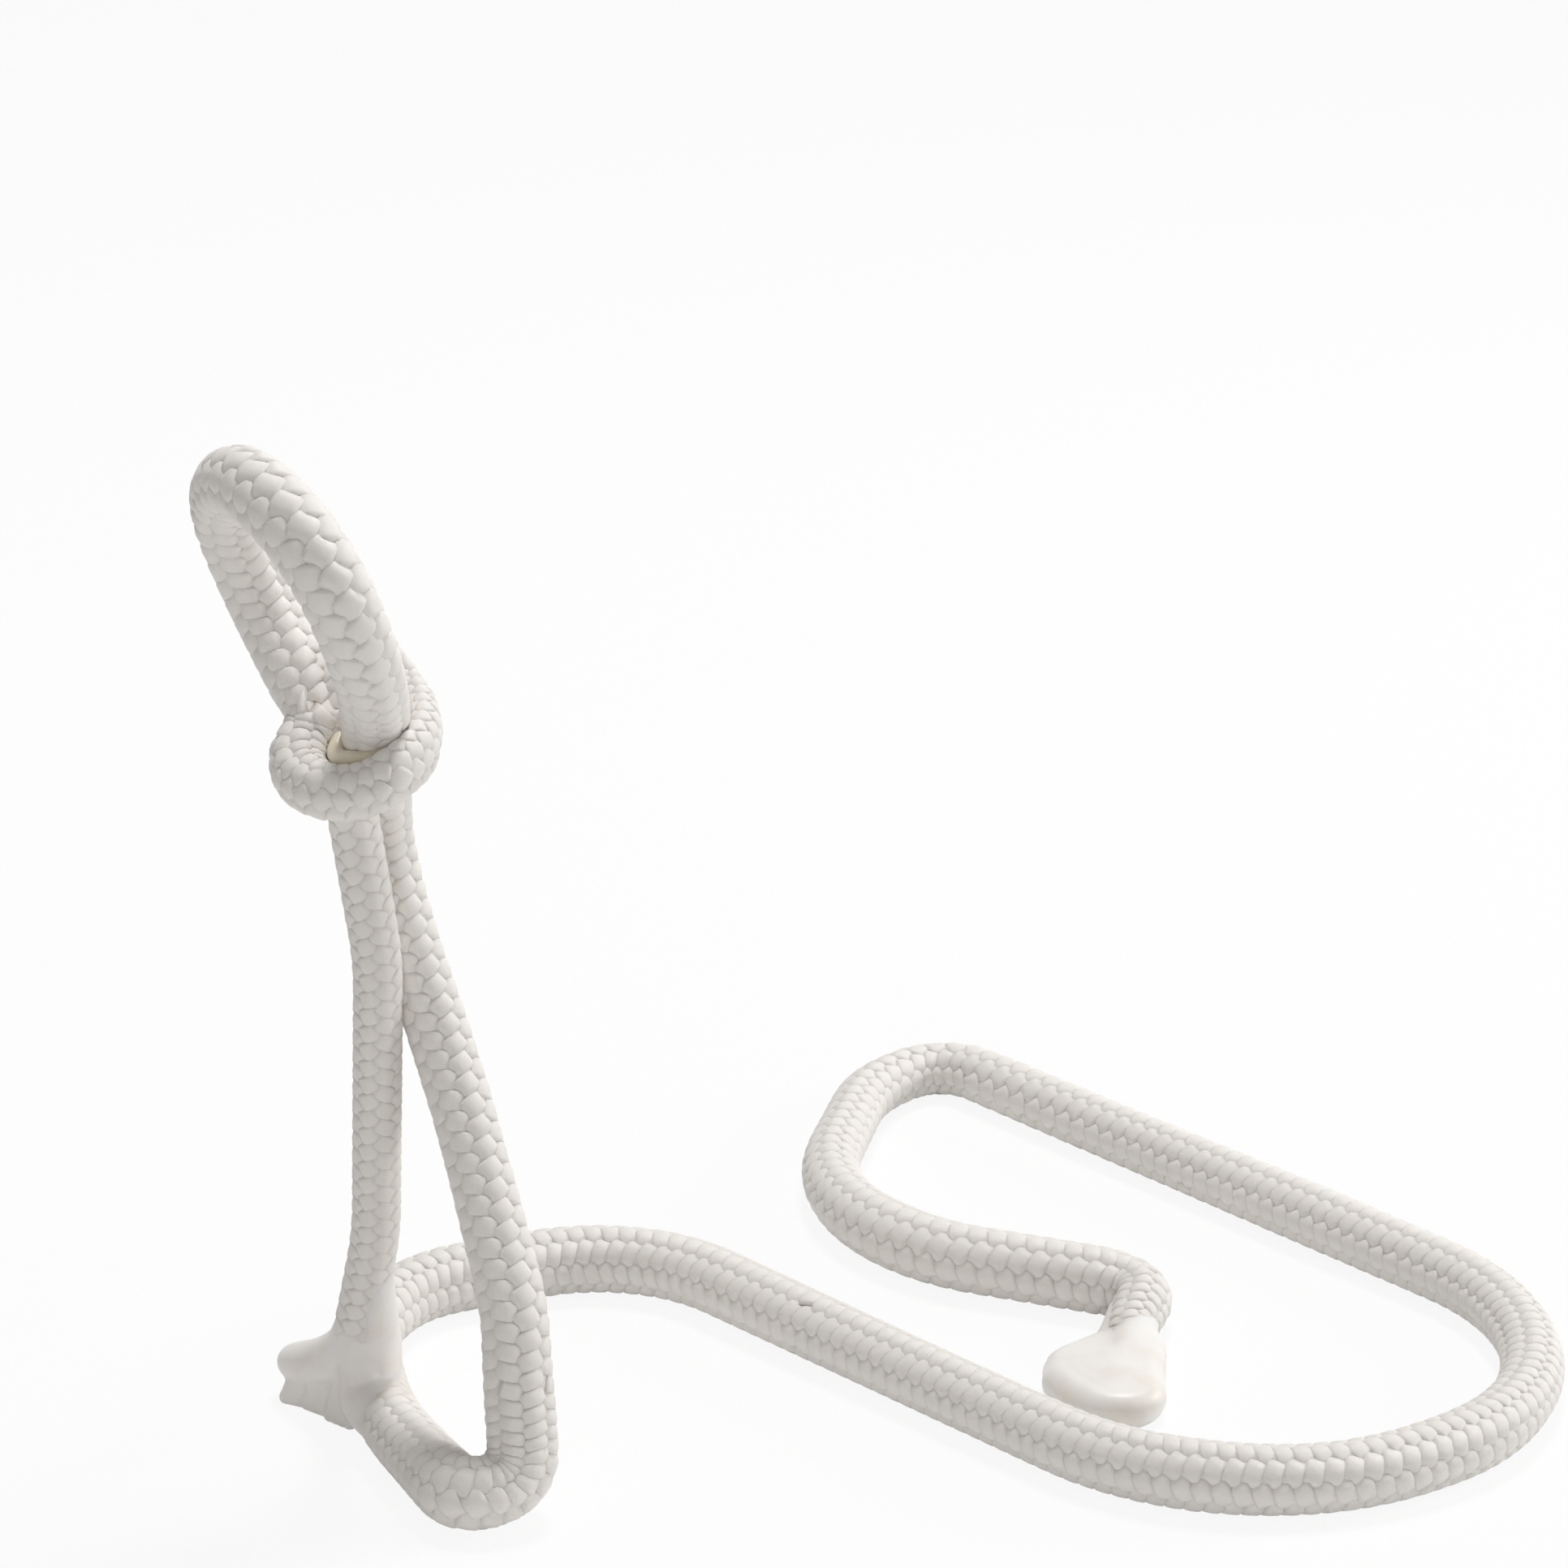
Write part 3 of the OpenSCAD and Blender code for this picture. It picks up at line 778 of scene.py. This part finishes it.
for first, last, root in LOBES:
    for across in (0, 0.33, 0.67, 1):
        edge = np.array([*(np.array(first) * (1 - across) + np.array(last) * across), 1.0])
        for share in np.linspace(0, 1, 7):
            middle = edge + (np.array(root) - edge) * np.array([share, share, share ** 1.15])
            foot_balls.append((middle, (LOBE_TIP_R + LOBE_GROWTH * share,) * 3))
for x, y in FILLED:
    for rise in FILL_RISES:
        foot_balls.append(((x + 0.5 + 0.3 * rise, y, rise), (1.7, 1.9, 1.7)))
tail_foot = lump("tail_foot_melt", foot_balls, 0.45, 5)
dress(tail_foot, melted, "tail_foot")

# %% [markdown]
# ## The folded tip
# The other end of the rope runs on past the rod, folds back on itself and was melted flat. The
# fold is still braided, and its way starts inside the flat lump, so the stitches sink into it.

# %% The fold
FOLD_END = STARTS["rope_far"]
FOLD_PLACES = FOLD_END + np.array([-30, -20, -12, 0])
fold_wide = np.interp(rope_way["at"], FOLD_PLACES, [2.6, 4.7, 5.8, 6.4])
fold_high = np.interp(rope_way["at"], FOLD_PLACES, [2.6, 4.7, 5.6, 6.4])
fold_halves = np.stack([fold_wide, fold_high], 1)
fold_way = make_way(rope_way["points"], (0, 0, 1), fold_halves, rope_pitch)
fold = braided_piece("tip_fold_braid", fold_way, FOLD_PLACES[0], FOLD_END)
dress(fold, nylon, "tip_end")

# %% [markdown]
# ## The flattened tip
# The melt is a flat pillow: rows of flattened balls run from a smooth edge to the middle and grow
# thicker on the way. One chain of balls runs from the pillow into the fold, and a second fills the
# inner corner, so the braid comes out of the melt without a step.

# %% Flattened tip
TIP_MIDDLE = np.array([122.5, -81.5])
TIP_EDGE = np.array([
    (111.4, -74.0), (117.4, -68.4), (126.0, -67.8), (134.0, -68.6), (140.0, -72.8),
    (136.8, -79.1), (132.5, -85.4), (127.2, -91.6), (122.2, -95.3), (116.4, -94.9),
    (111.6, -90.0), (110.0, -82.0),
])
PILLOW_R, PILLOW_Z = 3.8, 3.4
EDGE_INSET, ROW_STEP = 3.7, 2.6
EDGE_HIGH, CROWN_HIGH = 2.9, 1.9
CROWN_REACH = 11
tip_balls = []
for edge in through(np.concatenate([TIP_EDGE, TIP_EDGE[:1]]), 3):
    inward = TIP_MIDDLE - edge
    reach = np.linalg.norm(inward)
    for inset in np.arange(EDGE_INSET, reach, ROW_STEP):
        x, y = edge + inward * inset / reach
        high = EDGE_HIGH + CROWN_HIGH * math.sqrt(min(inset / CROWN_REACH, 1))
        tip_balls.append(((x, y, PILLOW_Z), (PILLOW_R, PILLOW_R, high)))
tip_balls += chain([
    (124.0, -81.0, 3.6, 4.4), (130.0, -77.0, 4.0, 4.8), (134.4, -73.6, 4.4, 4.9),
    (137.6, -71.0, 4.8, 4.5), (140.6, -68.8, 4.9, 3.6), (143.0, -67.0, 5.0, 2.6),
], 4)
tip_balls += chain([
    (131.0, -70.5, 3.4, 3.4), (136.5, -66.6, 3.4, 3.4), (140.6, -62.8, 3.6, 3.0),
    (142.4, -60.6, 4.0, 2.4),
], 4)
tip = lump("tip_melt", tip_balls, 0.5, 18)
dress(tip, melted, "tip_end")

# %% [markdown]
# ## Resin in the knot
# The knot is glued where the riser comes through it. The resin is clear, slightly yellow, and
# fills the hollows between the strands, so it is a lump that the strands stick out of.

# %% Resin
RESIN_COLOURS = [(0.3, (0.74, 0.66, 0.50)), (0.7, (0.80, 0.75, 0.64))]
resin, nodes, links, shader = new_material("yellowed resin")
tone = colour_steps(nodes, links, object_noise(nodes, links, 160, 2), RESIN_COLOURS)
links.new(tone, shader.inputs["Base Color"])
give_finish(shader, {
    "Roughness": 0.3, "Subsurface Weight": 0.5, "Subsurface Radius": (1.0, 0.85, 0.55),
    "Subsurface Scale": 0.003,
})
RESIN = np.array([
    (-0.22, 0.10, 0.24, 1.7), (-0.26, 0.31, 0.15, 1.8), (-0.20, 0.50, 0.12, 1.8),
    (-0.02, 0.64, 0.14, 1.8), (0.24, 0.70, 0.18, 1.8), (0.50, 0.64, 0.25, 1.8),
    (0.72, 0.46, 0.37, 1.6), (0.82, 0.20, 0.48, 1.4),
])
resin_balls = [(knot_point(*row[:3]), (row[3],) * 3) for row in through(RESIN, 3)]
resin_fill = lump("knot_resin_fill", resin_balls, 0.4, 6)
dress(resin_fill, resin, "knot_resin")

# %% [markdown]
# ## The rod
# The steel rod is hidden in the rope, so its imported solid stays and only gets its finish.

# %% Material of the rod
STEEL_COLOURS = [(0.3, (0.46, 0.47, 0.49)), (0.7, (0.56, 0.57, 0.59))]
steel, nodes, links, shader = new_material("drawn steel")
tone = colour_steps(nodes, links, object_noise(nodes, links, 300, 2), STEEL_COLOURS)
links.new(tone, shader.inputs["Base Color"])
give_finish(shader, {"Metallic": 1, "Roughness": 0.35})
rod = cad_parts["core_rod"]
rod.data.materials.clear()
rod.data.materials.append(steel)
print("rod keeps its solid:", rod.name)

# %% [markdown]
# ## Table, light and background
# The picture has a pure white ground. More light would bleach the rope, so the ground is made
# white for the camera only: the world and the table are partly self-lit where the camera, a
# reflection or a clear material looks at them, and the table still takes the rope's shadow.

# %% Table
bpy.ops.object.select_all(action="DESELECT")
bpy.ops.mesh.primitive_plane_add(size=8, location=(0, 0, -0.0002))
table = bpy.context.object
table.name = "table_top"
ground, nodes, links, shader = new_material("white table")
shader.inputs["Base Color"].default_value = (0.88, 0.88, 0.88, 1)
shader.inputs["Roughness"].default_value = 0.9
glow = nodes.new("ShaderNodeEmission")
glow.inputs["Color"].default_value = (1, 1, 1, 1)
mixed = nodes.new("ShaderNodeMixShader")
output = nodes["Material Output"]


def seen_directly(nodes, links):
    """One where a camera, reflection or transmission ray looks, and otherwise zero."""
    path = nodes.new("ShaderNodeLightPath")
    first = nodes.new("ShaderNodeMath")
    first.operation = "MAXIMUM"
    links.new(path.outputs["Is Camera Ray"], first.inputs[0])
    links.new(path.outputs["Is Glossy Ray"], first.inputs[1])
    second = nodes.new("ShaderNodeMath")
    second.operation = "MAXIMUM"
    links.new(first.outputs[0], second.inputs[0])
    links.new(path.outputs["Is Transmission Ray"], second.inputs[1])
    return second.outputs[0]


share = nodes.new("ShaderNodeMath")
share.operation = "MULTIPLY"
share.inputs[1].default_value = 0.9
links.new(seen_directly(nodes, links), share.inputs[0])
links.new(share.outputs[0], mixed.inputs[0])
links.new(shader.outputs[0], mixed.inputs[1])
links.new(glow.outputs[0], mixed.inputs[2])
links.new(mixed.outputs[0], output.inputs["Surface"])
table.data.materials.append(ground)
print("stage:", table.name)

# %% [markdown]
# ## World and lamps
# The white room gives a weak, slightly warm light from all sides. Three large lamps shape the
# rope: the key from above, one low on the right, and a weak one in front for the left sides.

# %% World and lamps
world = bpy.data.worlds.new("white room")
scene.world = world
world.use_nodes = True
nodes, links = world.node_tree.nodes, world.node_tree.links
room = nodes["Background"]
room.inputs["Color"].default_value = (1, 0.965, 0.93, 1)
room.inputs["Strength"].default_value = 0.27
white = nodes.new("ShaderNodeBackground")
white.inputs["Color"].default_value = (1, 1, 1, 1)
white.inputs["Strength"].default_value = 1
mixed = nodes.new("ShaderNodeMixShader")
links.new(seen_directly(nodes, links), mixed.inputs[0])
links.new(room.outputs[0], mixed.inputs[1])
links.new(white.outputs[0], mixed.inputs[2])
links.new(mixed.outputs[0], nodes["World Output"].inputs["Surface"])
scene.view_settings.view_transform = "Standard"


LAMPS = {
    "lamp_key": ((0.5, 0.25, 1.4), (0.06, -0.05, 0.06), 0.4, 12.5),
    "lamp_right": ((1.3, -0.5, 0.45), (0.06, -0.05, 0.06), 0.4, 7),
    "lamp_front": ((-0.8, -1.1, 0.2), (0.06, -0.05, 0.03), 0.7, 3),
}
for name, (place, aim, size, power) in LAMPS.items():
    bpy.ops.object.select_all(action="DESELECT")
    bpy.ops.object.light_add(type="AREA", location=place)
    light = bpy.context.object
    light.name = name
    light.data.shape = "DISK"
    light.data.size = size
    light.data.energy = power
    light.rotation_euler = (Vector(aim) - Vector(place)).to_track_quat("-Z", "Y").to_euler()
    print(name, power, "W")
